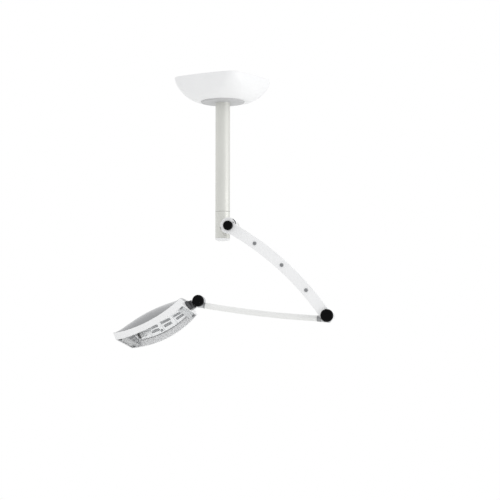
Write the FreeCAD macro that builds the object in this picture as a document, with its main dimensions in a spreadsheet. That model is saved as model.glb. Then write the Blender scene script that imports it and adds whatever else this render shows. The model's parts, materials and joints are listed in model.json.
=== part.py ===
"""Ceiling-hung dental operating light: canopy, pole, two friction arms and a tilting, rolling lamp head.

Millimetres, +Z up. The origin is on the pole's axis at the ceiling, so the light hangs below z = 0.
Both arms work in planes parallel to XZ, and the pivots of the arms turn about Y.
"""
import FreeCAD, Part
import math
import os
import Sketcher

Vector = FreeCAD.Vector
Rotation = FreeCAD.Rotation
Placement = FreeCAD.Placement

DRIVING_SIZES = {
    # ceiling end
    "plate_radius": 118, "plate_thick": 8, "mount_circle": 100, "mount_hole": 5.5, "cable_hole": 16,
    "flange_radius": 58, "flange_thick": 8, "flange_circle": 46, "pole_radius": 25.4, "pole_wall": 2.5,
    "pole_drop": 463.5, "canopy_half": 137.8, "canopy_depth": 82, "canopy_wall": 3, "base_disc": 76,
    "base_thick": 4.9, "base_round": 4.5,
    # swivel under the pole
    "spindle_radius": 12, "wire_bore": 7, "swivel_top": 464.2, "swivel_low": 556, "cap_thick": 9,
    # arm pivots
    "shoulder_x": 33.3, "shoulder_z": -517, "pin_radius": 8, "running_gap": 0.05, "pivot_face": 31,
    "boss_radius": 24, "hub_radius": 14, "washer_thick": 1.8,
    # upper arm
    "arm_length": 459, "arm_fall": 42.2, "arm_bend": 994, "arm_height": 37, "arm_shift": 4, "arm_depth": 32,
    "arm_wall": 2.5, "shoulder_disc": 28, "elbow_disc": 20.5, "shoulder_cap": 16.5, "elbow_cap": 22,
    "cap_height": 14,
    # forearm
    "forearm_length": 457.5, "forearm_rise": 6.65, "tube_radius": 10.3, "tube_wall": 2, "tube_bow": 5.5,
    "tube_drop": 13.5, "elbow_neck": 26, "elbow_ferrule": 13, "head_neck": 18.5, "head_ferrule": 3.5,
    "ferrule_gap": 0.4, "tube_gap": 1.3, "elbow_spigot": 56, "head_spigot": 38,
    "forearm_y": -8, "knuckle_radius": 16, "end_disc": 18.5, "end_half": 11,
    # head
    "head_rise": 26.5, "head_roll": 13, "tilt_pin": 7, "tilt_cap": 20.5, "head_reach": 176, "head_half": 133,
    "end_width": 75.5, "mid_width": 90, "bezel_depth": 27, "bezel_wall": 3, "front_bow": 22, "rear_bow": 26,
    "end_crown": 12, "mid_crown": 31.5, "shell_wall": 2.5, "shield_thick": 2, "roll_radius": 8,
    # fits and fasteners that several sub-parts share
    "press_ease": 0.02, "loose_ease": 0.3, "bolt_radius": 4, "bolt_across": 15, "bolt_head": 5.3,
    "lock_level": 60,
}

doc = FreeCAD.newDocument("operating_light")
sheet = doc.addObject("Spreadsheet::Sheet", "sizes")
for row, (alias, number) in enumerate(DRIVING_SIZES.items(), start=1):
    sheet.set("A%d" % row, str(number))
    sheet.setAlias("A%d" % row, alias)
doc.recompute()

sub_parts = []


# ---------------------------------------------------------------- helpers

def sized(text):
    """Expression in which every @name is a cell of the sheet."""
    return str(text).replace("@", "sizes.")


def value(text):
    return float(sheet.evalExpression(sized(text)))


def turned_frame(base, axis, degrees):
    return Placement(Vector(*base), Rotation(Vector(*axis), degrees))


def keep(label, item, frame=None):
    """Record a finished sub-part, with the name of its file and its place."""
    item.Label = label
    if frame is not None:
        item.Placement = frame.multiply(item.Placement)
    sub_parts.append(item)
    return item


AXIS_TURN = {"z": Rotation(), "x": Rotation(Vector(0, 1, 0), 90), "y": Rotation(Vector(1, 0, 0), -90)}


def place(item, at, axis="z"):
    item.Placement = Placement(Vector(*[value(entry) for entry in at]), AXIS_TURN[axis])
    for letter, entry in zip("xyz", at):
        item.setExpression("Placement.Base." + letter, sized(entry))
    return item


def cylinder(name, radius, height, at=(0, 0, 0), axis="z"):
    bar = doc.addObject("Part::Cylinder", name)
    bar.setExpression("Radius", sized(radius))
    bar.setExpression("Height", sized(height))
    return place(bar, at, axis)


def block(name, size, at):
    brick = doc.addObject("Part::Box", name)
    for side, length in zip(("Length", "Width", "Height"), size):
        brick.setExpression(side, sized(length))
    return place(brick, at)


def ball(name, radius, at):
    item = doc.addObject("Part::Sphere", name)
    item.setExpression("Radius", sized(radius))
    return place(item, at)


def fused(name, *pieces):
    union = doc.addObject("Part::MultiFuse", name)
    union.Shapes = list(pieces)
    return union


def cut(name, base, *tools):
    result = doc.addObject("Part::Cut", name)
    result.Base = base
    result.Tool = tools[0] if len(tools) == 1 else fused(name + "_tools", *tools)
    return result


def group(name, *pieces):
    """Separate solids kept together in one node."""
    compound = doc.addObject("Part::Compound", name)
    compound.Links = list(pieces)
    return compound


def ring(name, outer, inner, height, at=(0, 0, 0), axis="z"):
    return cut(name, cylinder(name + "_rim", outer, height, at, axis),
               cylinder(name + "_bore", inner, height, at, axis))


def hexagon(name, across, bore, height, at, axis="y"):
    """Hexagon nut or head, `across` its corners, with a bore unless that is 0."""
    prism = doc.addObject("Part::Prism", name + "_hexagon")
    prism.Polygon = 6
    prism.setExpression("Circumradius", sized("(%s) / 2" % across))
    prism.setExpression("Height", sized(height))
    place(prism, at, axis)
    if not bore:
        return prism
    return cut(name, prism, cylinder(name + "_bore", bore, height, at, axis))


def new_body(name):
    return doc.addObject("PartDesign::Body", name)


def new_sketch(body, name, plane, offset=0):
    sketch = body.newObject("Sketcher::SketchObject", name)
    support = [item for item in body.Origin.OriginFeatures if item.Role == plane][0]
    sketch.AttachmentSupport = [(support, "")]
    sketch.MapMode = "FlatFace"
    sketch.setExpression("AttachmentOffset.Base.z", sized(offset))
    return sketch


def constrain(sketch, kind, *arguments):
    """Add a constraint whose size is the expression given last."""
    index = sketch.addConstraint(Sketcher.Constraint(kind, *arguments[:-1], value(arguments[-1])))
    sketch.setExpression("Constraints[%d]" % index, sized(arguments[-1]))


def draw_loop(sketch, corners):
    """Closed loop through corners (x, y) or (x, y, radius, turn): an arc to the next corner, with
    turn +1 when its centre is to the left of the way round and -1 when it is to the right."""
    first = sketch.GeometryCount
    ends = []
    points = [Vector(value(corner[0]), value(corner[1]), 0) for corner in corners]
    for index, corner in enumerate(corners):
        start = points[index]
        end = points[(index + 1) % len(points)]
        if len(corner) == 2:
            sketch.addGeometry(Part.LineSegment(start, end))
            ends.append((1, 2))
            continue
        radius, turn = value(corner[2]), corner[3]
        chord = end - start
        left = Vector(-chord.y, chord.x, 0).normalize()
        reach = math.sqrt(max(radius ** 2 - chord.Length ** 2 / 4, 0))
        centre = (start + end) * 0.5 + left * (reach * turn)
        low, high = (start, end) if turn > 0 else (end, start)
        angles = [math.atan2(point.y - centre.y, point.x - centre.x) for point in (low, high)]
        if angles[1] < angles[0]:
            angles[1] += 2 * math.pi
        sketch.addGeometry(Part.ArcOfCircle(Part.Circle(centre, Vector(0, 0, 1), radius), *angles))
        ends.append((1, 2) if turn > 0 else (2, 1))
    count = len(corners)
    for index in range(count):
        following = (index + 1) % count
        sketch.addConstraint(Sketcher.Constraint(
            "Coincident", first + index, ends[index][1], first + following, ends[following][0]))
    for index, corner in enumerate(corners):
        constrain(sketch, "DistanceX", -1, 1, first + index, ends[index][0], corner[0])
        constrain(sketch, "DistanceY", -1, 1, first + index, ends[index][0], corner[1])
        if len(corner) > 2:
            constrain(sketch, "Radius", first + index, corner[2])


def draw_circle(sketch, radius, x=0, y=0):
    index = sketch.addGeometry(Part.Circle(Vector(value(x), value(y), 0), Vector(0, 0, 1), value(radius)))
    constrain(sketch, "DistanceX", -1, 1, index, 3, x)
    constrain(sketch, "DistanceY", -1, 1, index, 3, y)
    constrain(sketch, "Radius", index, radius)


def feature(body, kind, name, sketch, length=None, reverse=False):
    """Pad or Pocket of a sketch; both go along the sketch's normal unless reverse is set."""
    item = body.newObject("PartDesign::" + kind, name)
    item.Profile = sketch
    item.Reversed = reverse if kind == "Pad" else not reverse
    item.setExpression("Length", sized(length))
    return item


def turned(name, corners):
    """Body of revolution about its own Z axis, from corners (radius, height)."""
    body = new_body(name)
    sketch = new_sketch(body, name + "_section", "XZ_Plane")
    draw_loop(sketch, corners)
    spin = body.newObject("PartDesign::Revolution", name + "_turn")
    spin.Profile = sketch
    spin.ReferenceAxis = (sketch, ["V_Axis"])
    spin.Angle = 360
    return body


def lengthwise_pipe(name, start, end, bow, circles):
    """Round bar or tube along X, tube_drop to +Z at its ends and `bow` further at its middle."""
    body = new_body(name)
    section = new_sketch(body, name + "_section", "YZ_Plane", start)
    for radius in circles:
        draw_circle(section, radius, "@forearm_y", "@tube_drop")
    path = new_sketch(body, name + "_path", "XZ_Plane", "-(@forearm_y)")
    bend = "((%s) - (%s))^2 / (8 * (%s)) + (%s) / 2" % (end, start, bow, bow)
    low = (value(start), value(end), value(bend))
    middle = (low[0] + low[1]) / 2
    drop = math.sqrt(low[2] ** 2 - (low[1] - low[0]) ** 2 / 4)
    half = math.asin((low[1] - low[0]) / 2 / low[2])
    circle = Part.Circle(Vector(middle, value("@tube_drop") - drop, 0), Vector(0, 0, 1), low[2])
    arc = Part.ArcOfCircle(circle, math.pi / 2 - half, math.pi / 2 + half)
    path.addGeometry(arc)
    for place_on_arc, x in ((2, start), (1, end)):
        constrain(path, "DistanceX", -1, 1, 0, place_on_arc, x)
        constrain(path, "DistanceY", -1, 1, 0, place_on_arc, "@tube_drop")
    constrain(path, "Radius", 0, bend)
    pipe = body.newObject("PartDesign::AdditivePipe", name + "_pipe")
    pipe.Profile = section
    pipe.Spine = path
    return body


# ---------------------------------------------------------------- frames of the moving groups

shoulder_frame = turned_frame((value("@shoulder_x"), 0, value("@shoulder_z")), (0, 1, 0), value("@arm_fall"))
elbow_point = shoulder_frame.multVec(Vector(value("@arm_length"), 0, 0))
elbow_frame = turned_frame(elbow_point, (0, 1, 0), 180 + value("@forearm_rise"))
tilt_point = elbow_frame.multVec(Vector(value("@forearm_length"), 0, 0))
tilt_frame = turned_frame(tilt_point, (0, 1, 0), -value("@head_rise"))
roll_frame = tilt_frame.multiply(turned_frame((0, 0, 0), (1, 0, 0), -value("@head_roll")))
head_frame = roll_frame.multiply(Placement(Vector(-value("@head_reach"), 0, 0), Rotation()))


# ---------------------------------------------------------------- ceiling mount

def mounting_plate():
    """Steel disc screwed to the ceiling by four bolts on one circle."""
    body = new_body("plate")
    outline = new_sketch(body, "plate_outline", "XY_Plane")
    draw_circle(outline, "@plate_radius")
    draw_circle(outline, "@cable_hole")
    feature(body, "Pad", "plate_pad", outline, "@plate_thick", reverse=True)
    mount_holes = new_sketch(body, "mount_holes", "XY_Plane")
    bolt_holes = new_sketch(body, "bolt_holes", "XY_Plane")
    for quarter in range(4):
        mount_angle = 45 + 90 * quarter
        bolt_angle = 90 * quarter
        draw_circle(mount_holes, "@mount_hole",
                    "@mount_circle * cos(%d deg)" % mount_angle, "@mount_circle * sin(%d deg)" % mount_angle)
        draw_circle(bolt_holes, "@bolt_radius + @press_ease",
                    "@flange_circle * cos(%d deg)" % bolt_angle, "@flange_circle * sin(%d deg)" % bolt_angle)
    feature(body, "Pocket", "mount_pocket", mount_holes, "@plate_thick", reverse=True)
    feature(body, "Pocket", "bolt_pocket", bolt_holes, "@plate_thick", reverse=True)
    keep("mounting_plate", body)


def lock_hole(name):
    """Cross hole for the screw that locks the pole to its flange."""
    return cylinder(name, "@bolt_radius + 0.1", 80, (0, -40, "-@lock_level"), "y")


def pole_and_flange():
    """Flanged spigot bolted under the plate, and the pole that slides over it."""
    spigot = "@pole_radius - @pole_wall - 0.05"
    flange_low = "-@plate_thick - @flange_thick"
    body = turned("flange", [("@cable_hole + 1", "-@plate_thick"), ("@cable_hole + 1", -90), (spigot, -90),
                             (spigot, flange_low), ("@flange_radius", flange_low),
                             ("@flange_radius", "-@plate_thick")])
    holes = []
    bolts = []
    for quarter in range(4):
        x = "@flange_circle * cos(%d deg)" % (90 * quarter)
        y = "@flange_circle * sin(%d deg)" % (90 * quarter)
        spot = (x, y, flange_low)
        under_head = (x, y, flange_low + " - @bolt_head")
        holes.append(cylinder("flange_hole%d" % quarter, "@bolt_radius + 0.5", "@flange_thick", spot))
        shank = cylinder("bolt_shank%d" % quarter, "@bolt_radius", "@flange_thick + @plate_thick - 2", spot)
        head = hexagon("bolt_head%d" % quarter, "@bolt_across", 0, "@bolt_head", under_head, "z")
        bolts.append(fused("bolt%d" % quarter, shank, head))
    keep("pole_flange", cut("flange_drilled", body, lock_hole("flange_cross"), *holes))
    keep("flange_bolts", group("flange_bolt_group", *bolts))

    length = "@pole_drop - @plate_thick - @flange_thick - 0.2"
    tube = ring("pole", "@pole_radius", "@pole_radius - @pole_wall", length, (0, 0, "-@pole_drop"))
    keep("pole_tube", cut("pole_drilled", tube, lock_hole("pole_cross")))

    level = "-@lock_level"
    shank = cylinder("lock_shank", "@bolt_radius", 58, (0, -28, level), "y")
    head = hexagon("lock_head", "@bolt_across", 0, "@bolt_head", (0, "-28 - @bolt_head", level))
    nut = hexagon("lock_nut", "@bolt_across", 0, 6, (0, 26, level))
    keep("pole_locking_screw", fused("lock_screw", shank, head, nut))


def rounded_square(half, side_bend, corner):
    """Eight arcs: four slightly bowed sides and four corners, starting at the first corner."""
    offset = "(%s - %s)" % (half, side_bend)
    reach = "(%s - %s)" % (side_bend, corner)
    centre = "((%s + sqrt(2 * %s^2 - %s^2)) / 2)" % (offset, reach, offset)
    far = "(%s + %s * (%s - %s) / %s)" % (centre, corner, centre, offset, reach)
    near = "(%s + %s * %s / %s)" % (centre, corner, centre, reach)
    loop = []
    for x, y in ((1, 1), (-1, 1), (-1, -1), (1, -1)):
        first, second = ((far, near), (near, far)) if x * y > 0 else ((near, far), (far, near))
        loop.append(("%d * %s" % (x, first[0]), "%d * %s" % (y, first[1]), corner, 1))
        loop.append(("%d * %s" % (x, second[0]), "%d * %s" % (y, second[1]), side_bend, 1))
    return loop


CANOPY_TURN = 90 * 0.83


def canopy_share(step, steps):
    """Share of the canopy's depth that a section lies at, closer together towards the bottom."""
    return math.sin(math.radians(CANOPY_TURN * step / (steps - 1)))


def canopy_loft(body, kind, name, inset, rim, depth):
    """Bowl from the rim down to `depth`, each section closer to a circle than the one above."""
    sections = []
    steps = 7
    for step in range(steps):
        share = canopy_share(step, steps)
        level = "%s - (%s + %s) * %.4f" % (rim, depth, rim, share)
        shrink = 1 - 0.64 * (1 - math.sqrt(1 - (0.957 * share) ** 2))
        roundness = 0.33 + 0.5 * share ** 2
        half = "(@canopy_half * %.4f - %s)" % (shrink * (1 + 0.09 * share ** 3), inset)
        sketch = new_sketch(body, "%s_section%d" % (name, step), "XY_Plane", level)
        draw_loop(sketch, rounded_square(half, "(%s * %.3f)" % (half, 6 - 4 * share),
                                         "(%s * %.4f)" % (half, roundness)))
        sections.append(sketch)
    loft = body.newObject("PartDesign::" + kind, name)
    loft.Profile = sections[0]
    loft.Sections = sections[1:]
    return loft


def canopy():
    """Moulded bowl that hides the ceiling plate, and the flat disc that closes it round the pole."""
    body = new_body("canopy")
    canopy_loft(body, "AdditiveLoft", "canopy_outside", 0, -1, "@canopy_depth")
    canopy_loft(body, "SubtractiveLoft", "canopy_inside", "@canopy_wall", 1, "@canopy_depth - @canopy_wall")
    hole = new_sketch(body, "pole_hole", "XY_Plane", "-@canopy_depth - 5")
    draw_circle(hole, "@pole_radius + 0.6")
    feature(body, "Pocket", "pole_pocket", hole, 40)
    keep("canopy_shell", body, turned_frame((0, 0, 0), (0, 0, 1), -20.5))

    top = "-1 - (@canopy_depth - 1) * %.4f - 0.1" % canopy_share(1, 2)
    low = top + " - @base_thick"
    inner = "@pole_radius + @loose_ease"
    disc = turned("base_disc_body", [(inner, top), (inner, low),
                                     ("@base_disc - @base_round", low, "@base_round", 1),
                                     ("@base_disc", low + " + @base_round"), ("@base_disc", top)])
    keep("canopy_base_ring", disc)


def ceiling_gear():
    """Transformer, terminals and fuse, screwed under the plate inside the canopy, and the pole's lead."""
    under = "-@plate_thick"
    core = block("core_block", (36, 64, 36), (-105, -32, under + " - 36"))
    windows = [block("core_window%d" % side, (36.2, 14, 24), (-105.1, -23 + 32 * side, under + " - 30"))
               for side in range(2)]
    keep("transformer_core", cut("core", core, *windows))
    coil = block("coil_block", (48, 45.6, 23.6), (-111, -22.8, under + " - 29.8"))
    limb = block("coil_limb", (36.6, 18.2, 24), (-105.3, -9.1, under + " - 30"))
    keep("transformer_winding", cut("coil", coil, limb))

    strip = block("terminal_base", (56, 18, 16), (-28, 76, under + " - 16"))
    wells = [cylinder("terminal_well%d" % way, 2.4, 9, (-21 + 14 * way, 85, under + " - 16"))
             for way in range(4)]
    keep("terminal_block", cut("terminal", strip, *wells))
    holder = block("fuse_base", (34, 12, 6), (-17, -92, under + " - 6"))
    clips = [block("fuse_clip%d" % end, (4, 8, 7), (-12 + 20 * end, -90, under + " - 13"))
             for end in range(2)]
    tube = cylinder("fuse_tube", 2.6, 26, (-13, -86, under + " - 9.5"), "x")
    keep("fuse_holder", fused("fuse", holder, tube, *clips))
    keep("pole_lead", group("pole_lead_group", cylinder("pole_lead_core", 3.5, 320, (0, 0, -395))))


def pole_bearing():
    """Bronze bush pressed in the pole's lower end, with the pin that stops the swivel."""
    fit = "@pole_radius - @pole_wall - 0.03"
    bush = ring("bush", fit, "@spindle_radius + @running_gap", 40, (0, 0, "-@pole_drop"))
    stop_radius = 2.5
    foot = (-20, 0, "-@pole_drop + 31")
    hole = cylinder("stop_hole", "%s + @press_ease" % stop_radius, 10, foot)
    keep("pole_end_bush", cut("bush_drilled", bush, hole))
    keep("swivel_stop_pin", group("stop_pin", cylinder("stop_pin_rod", stop_radius, 24, foot)))


# ---------------------------------------------------------------- swivel

def swivel():
    """Knuckle under the pole that turns on a hollow spindle and carries the shoulder pivot."""
    bush_top = "-@pole_drop + 40"
    keep("swivel_spindle", ring("spindle", "@spindle_radius", "@wire_bore", 90, (0, 0, "-@pole_drop - 26")))
    snug = "@spindle_radius + @press_ease"
    keep("spindle_washer", ring("spindle_thrust", 16.5, snug, 1.6, (0, 0, bush_top + " + 0.1")))
    nut_low = bush_top + " + 1.8"
    nut = cylinder("spindle_nut_rim", 17.5, 10, (0, 0, nut_low))
    tab = block("stop_tab", (6, 6, 10), (15.5, -3, nut_low))
    bore = cylinder("spindle_nut_bore", snug, 10, (0, 0, nut_low))
    keep("spindle_nut", cut("spindle_nut_tapped", fused("spindle_nut_body", nut, tab), bore))

    column = cylinder("column", "@pole_radius", "@swivel_low - @swivel_top", (0, 0, "-@swivel_low"))
    boss = cylinder("boss", "@boss_radius", "@pivot_face - @washer_thick + 10",
                    ("@shoulder_x", "-@pivot_face + @washer_thick", "@shoulder_z"), "y")
    holes = [
        cylinder("spindle_seat", snug, 26, (0, 0, "-@pole_drop - 26")),
        cylinder("wire_way", "@wire_bore", 60, (0, 0, "-@pole_drop - 80")),
        cylinder("wire_chamber", 14, 40, (0, 0, "-@swivel_low")),
        cylinder("pin_seat", "@pin_radius + @press_ease", 28.3,
                 ("@shoulder_x", "-@pivot_face", "@shoulder_z"), "y"),
        cylinder("cross_way", 4, "@shoulder_x", (0, -6, "@shoulder_z"), "x"),
    ]
    keep("swivel_knuckle", cut("knuckle", fused("knuckle_body", column, boss), *holes))

    low = "-@swivel_low - @cap_thick"
    top = "-@swivel_low - 0.2"
    cap = turned("swivel_cap_body", [
        (0, low), ("@pole_radius - 8", low, 8, 1), ("@pole_radius", low + " + 8"), ("@pole_radius", top),
        (13.9, top), (13.9, top + " + 10"), (0, top + " + 10")])
    keep("swivel_cap", cap)


def pivot_stack(prefix, frame, back_end, cap_radius):
    """Hollow pin with its friction washers, tension nut and round cover cap, all along Y.

    back_end is where the pin is seated; the stack clamps the upper arm from its outer face.
    """
    front = "-@pivot_face - @arm_depth"
    pin_end = front + " - 6.8"
    pin_length = "(%s) - (%s)" % (back_end, pin_end)
    keep(prefix + "_pin", ring(prefix + "_pin_rod", "@pin_radius", "@pin_radius - 4", pin_length,
                               (0, pin_end, 0), "y"), frame)
    eye = "@pin_radius + @loose_ease"
    friction = ring(prefix + "_friction_disc", "@knuckle_radius - 1", eye, "@washer_thick - 0.2",
                    (0, "-@pivot_face + 0.1", 0), "y")
    spring = ring(prefix + "_spring_disc", 12.5, eye, 1.8, (0, front + " - 2", 0), "y")
    keep(prefix + "_washers", group(prefix + "_washer_pair", friction, spring), frame)
    keep(prefix + "_nut",
         hexagon(prefix + "_nut_hex", 23, "@pin_radius + @press_ease", 4.4, (0, front + " - 6.6", 0)), frame)
    keep(prefix + "_cap", cover_cap(prefix, cap_radius),
         frame.multiply(Placement(Vector(0, value(front) - 0.3, 0), Rotation(Vector(1, 0, 0), 90))))


def cover_cap(prefix, radius):
    """Domed cap, hollow behind, whose open rim is at its own z = 0."""
    wall = 2.2
    reach = "@cap_height"
    dome = "(%s * 0.32)" % radius
    return turned(prefix + "_cap_body", [
        ("%s - %s" % (radius, wall), 0), (radius, 0), (radius, "%s - %s" % (reach, dome), dome, 1),
        ("%s - %s" % (radius, dome), reach), (0, reach), (0, "%s - %s" % (reach, wall)),
        ("%s - %s" % (radius, wall), "%s - %s" % (reach, wall)),
    ])


# ---------------------------------------------------------------- upper arm

def arm_band(body, name, kind, edges, offset, length, end_discs=()):
    """Arc-shaped band along the arm with a round disc at each pivot, padded or pocketed along -Y.

    edges are the distances of its lower and upper edge from the arm's curved centreline.
    """
    lean_x = "@arm_length / 2 / @arm_bend"
    lean_z = "sqrt(@arm_bend^2 - @arm_length^2 / 4) / @arm_bend"
    corners = [("(%s) * %s" % (edge, lean_x), "(%s) * %s" % (edge, lean_z)) for edge in edges]
    (low_x, low_z), (high_x, high_z) = corners
    band = new_sketch(body, name + "_band", "XZ_Plane", offset)
    draw_loop(band, [
        ("-(%s)" % high_x, high_z, "@arm_bend + (%s)" % edges[1], -1),
        ("@arm_length + (%s)" % high_x, high_z),
        ("@arm_length + (%s)" % low_x, low_z, "@arm_bend + (%s)" % edges[0], 1),
        ("-(%s)" % low_x, low_z)])
    feature(body, kind, name + "_band_" + kind, band, length)
    for end, radius in enumerate(end_discs):
        disc = new_sketch(body, "%s_disc%d" % (name, end), "XZ_Plane", offset)
        draw_circle(disc, radius, "@arm_length * %d" % end)
        feature(body, kind, "%s_disc%d_%s" % (name, end, kind), disc, length)


def pivot_bores(name, radius):
    return [cylinder("%s_bore%d" % (name, end), radius, 80, ("@arm_length * %d" % end, -90, 0), "y")
            for end in range(2)]


def screw_places():
    """The three cover screws, evenly spread between the pivots on the arm's curved centreline."""
    places = []
    for share in (0.24, 0.5, 0.76):
        x = "@arm_length * %.3f" % share
        rise = "sqrt(@arm_bend^2 - (@arm_length * %.3f)^2)" % (share - 0.5)
        rise += " - sqrt(@arm_bend^2 - @arm_length^2 / 4)"
        places.append((x, rise + " - @arm_shift"))
    return places


def upper_arm():
    """Two cover shells screwed over a steel spine with a bushed hub at each end."""
    face = "@pivot_face + 0.2"
    rear_depth = "@arm_depth - 10.3"
    seam = "@pivot_face + @arm_depth - 10"
    discs = ("@shoulder_disc", "@elbow_disc")
    inner_discs = ("@shoulder_disc - @arm_wall", "@elbow_disc - @arm_wall")
    outside = ("-@arm_height / 2 - @arm_shift", "@arm_height / 2 - @arm_shift")
    inside = ("-@arm_height / 2 - @arm_shift + @arm_wall", "@arm_height / 2 - @arm_shift - @arm_wall")

    rear = new_body("rear_shell")
    arm_band(rear, "rear", "Pad", outside, face, rear_depth, discs)
    arm_band(rear, "rear_hollow", "Pocket", inside, face + " + @arm_wall", rear_depth, inner_discs)
    keep("upper_arm_rear_shell",
         cut("rear_shell_bored", rear, *pivot_bores("rear", "@hub_radius + @loose_ease")), shoulder_frame)

    front = new_body("front_cover")
    arm_band(front, "front", "Pad", outside, seam, 10, discs)
    arm_band(front, "front_hollow", "Pocket", inside, seam + " - 1", "11 - @arm_wall", inner_discs)
    screw_holes = [cylinder("screw_hole%d" % index, 2.7, 20, (x, "-@pivot_face - @arm_depth - 5", z), "y")
                   for index, (x, z) in enumerate(screw_places())]
    keep("upper_arm_front_cover",
         cut("front_cover_bored", front, *screw_holes, *pivot_bores("front", "@hub_radius + @loose_ease")),
         shoulder_frame)

    spine_front = "@pivot_face + 17"
    spine = new_body("spine")
    arm_band(spine, "spine", "Pad", ("-9 - @arm_shift", "9 - @arm_shift"), "@pivot_face + 9", 8, (16, 16))
    hubs = [cylinder("hub%d" % end, "@hub_radius", "@arm_depth - 1.6",
                     ("@arm_length * %d" % end, "-@pivot_face - @arm_depth + 1.4",
                      0), "y") for end in range(2)]
    threads = [cylinder("thread%d" % index, 2.52, 12, (x, "-(%s)" % spine_front, z), "y")
               for index, (x, z) in enumerate(screw_places())]
    keep("upper_arm_spine",
         cut("spine_bored", fused("spine_body", spine, *hubs), *threads, *pivot_bores("spine", 11)),
         shoulder_frame)

    for end, name in enumerate(("shoulder_bush", "elbow_bush")):
        keep(name, ring(name + "_ring", 10.97, "@pin_radius + @running_gap", "@arm_depth - 1.6",
                        ("@arm_length * %d" % end, "-@pivot_face - @arm_depth + 1.4",
                         0), "y"), shoulder_frame)

    outer = "-@pivot_face - @arm_depth"
    screws = []
    for index, (x, z) in enumerate(screw_places()):
        shank = cylinder("cover_shank%d" % index, 2.5, 24, (x, outer, z), "y")
        head = cylinder("cover_head%d" % index, 6.2, 2.2, (x, outer + " - 2.2", z), "y")
        slot = block("cover_slot%d" % index, (9.6, 1.2, 1.4),
                     (x + " - 4.8", outer + " - 2.3", "%s - 0.7" % z))
        screws.append(cut("cover_screw%d" % index, fused("cover_screw_body%d" % index, shank, head), slot))
    keep("upper_arm_screws", group("cover_screws", *screws), shoulder_frame)

    lead = new_body("arm_lead_body")
    arm_band(lead, "arm_lead", "Pad", ("10 - @arm_shift", "15 - @arm_shift"), "@pivot_face + 11", 3)
    ends = [cylinder("lead_trim%d" % end, "@hub_radius + 3", 20, ("@arm_length * %d" % end, -60, 0), "y")
            for end in range(2)]
    keep("upper_arm_lead", cut("arm_lead_trimmed", lead, *ends), shoulder_frame)


# ---------------------------------------------------------------- forearm

def forearm():
    """Bowed tube between the elbow knuckle and the head knuckle, with a ferrule over each joint."""
    y = "@forearm_y"
    z = "@tube_drop"
    spigot_radius = "@tube_radius - @tube_wall - 1.3"
    hub = cylinder("elbow_hub", "@knuckle_radius", "@pivot_face - @washer_thick + 8",
                   (0, "-@pivot_face + @washer_thick", 0), "y")
    neck = cylinder("elbow_neck", "@tube_radius - 0.1", "@elbow_neck", (0, y, z), "x")
    heel = ball("elbow_heel", "@tube_radius + 0.4", (1, y, z))
    spigot = cylinder("elbow_spigot", spigot_radius, "@elbow_spigot", (0, y, z), "x")
    seat = cylinder("elbow_seat", "@pin_radius + @press_ease", "@pivot_face", (0, "-@pivot_face", 0), "y")
    way = cylinder("elbow_way", 3.5, "@elbow_spigot + 7", (0, y, z), "x")
    keep("elbow_knuckle", cut("elbow_knuckle_bored", fused("elbow_body", hub, neck, heel, spigot),
                              seat, way),
         elbow_frame)
    ferrules = [ring(name + "_ferrule_ring", "@tube_radius + 0.5", spigot_radius + " + @running_gap",
                     "@%s_ferrule" % name, (start, y, z), "x")
                for name, start in (("elbow", "@elbow_neck + @ferrule_gap"),
                                    ("head", "@forearm_length - @head_neck - @ferrule_gap - @head_ferrule"))]
    keep("forearm_ferrules", group("ferrule_pair", *ferrules), elbow_frame)

    start = "@elbow_neck + @ferrule_gap + @elbow_ferrule + @tube_gap"
    reach = "@forearm_length - @head_neck - @ferrule_gap - @head_ferrule - @tube_gap"
    keep("forearm_tube", lengthwise_pipe("tube", start, reach, "@tube_bow",
                                         ("@tube_radius", "@tube_radius - @tube_wall")), elbow_frame)
    keep("forearm_lead",
         lengthwise_pipe("tube_lead", 70, "@forearm_length - 72", "@tube_bow", (3,)), elbow_frame)

    end = "@forearm_length"
    disc = cylinder("head_hub", "@end_disc", "2 * @end_half", (end, y + " - @end_half", 0), "y")
    end_neck = cylinder("head_neck", "@tube_radius - 0.1", "@head_neck", (end + " - @head_neck", y, z), "x")
    end_heel = ball("head_heel", "@tube_radius + 0.4", (end + " - 1", y, z))
    end_spigot = cylinder("head_spigot", spigot_radius, "@head_spigot", (end + " - @head_spigot", y, z), "x")
    bore = cylinder("head_bore", 10, 60, (end, -40, 0), "y")
    end_way = cylinder("head_way", 3.5, "@head_spigot + 2", (end + " - @head_spigot - 7", y, z), "x")
    knuckle = fused("head_knuckle_body", disc, end_neck, end_heel, end_spigot)
    keep("head_knuckle", cut("head_knuckle_bored", knuckle, bore, end_way), elbow_frame)
    keep("tilt_bush", ring("tilt_bush_ring", 9.97, "@tilt_pin + @running_gap", "2 * @end_half",
                           (end, y + " - @end_half", 0), "y"), elbow_frame)


# ---------------------------------------------------------------- head bracket

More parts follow.
